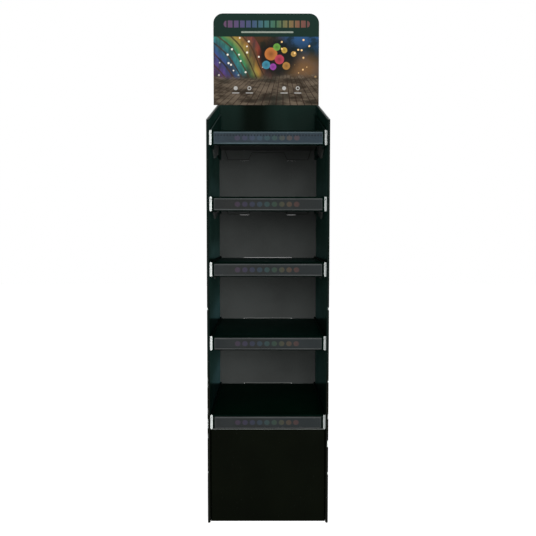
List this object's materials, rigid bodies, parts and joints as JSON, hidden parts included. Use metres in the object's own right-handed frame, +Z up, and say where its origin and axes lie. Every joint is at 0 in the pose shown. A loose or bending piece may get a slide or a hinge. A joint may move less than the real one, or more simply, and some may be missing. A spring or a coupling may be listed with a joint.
{
  "type": "cardboard display stand",
  "caption": "Floor-standing folded-board display stand: open-fronted body with sloping side tops, shelf trays with price strips, plinth and header card.",
  "frame": {"origin": "on the floor, under the middle of the stand's body", "axes": "+Z up, +X to the right seen from the front, the open front faces -Y"},
  "size_m": [0.4135, 0.4, 1.816],
  "materials": {
    "black_board": "gloss black print outside, dark grey reverse, pale raw edges",
    "printed_card": "gloss print: soft fields of colour on black",
    "strip_plastic": "clear smoky extruded strip",
    "label_paper": "dark printed label, bare of words"
  },
  "bodies": {
    "root": {"body_wrap": "black_board", "plinth": "black_board", "header_card": "printed_card", "tray_1": "black_board", "price_strip_1": "strip_plastic", "price_label_1": "label_paper", "tray_2": "black_board", "price_strip_2": "strip_plastic", "price_label_2": "label_paper", "tray_3": "black_board", "price_strip_3": "strip_plastic", "price_label_3": "label_paper", "tray_4": "black_board", "price_strip_4": "strip_plastic", "price_label_4": "label_paper", "tray_5": "black_board", "price_strip_5": "strip_plastic", "price_label_5": "label_paper"}
  },
  "joints": []
}
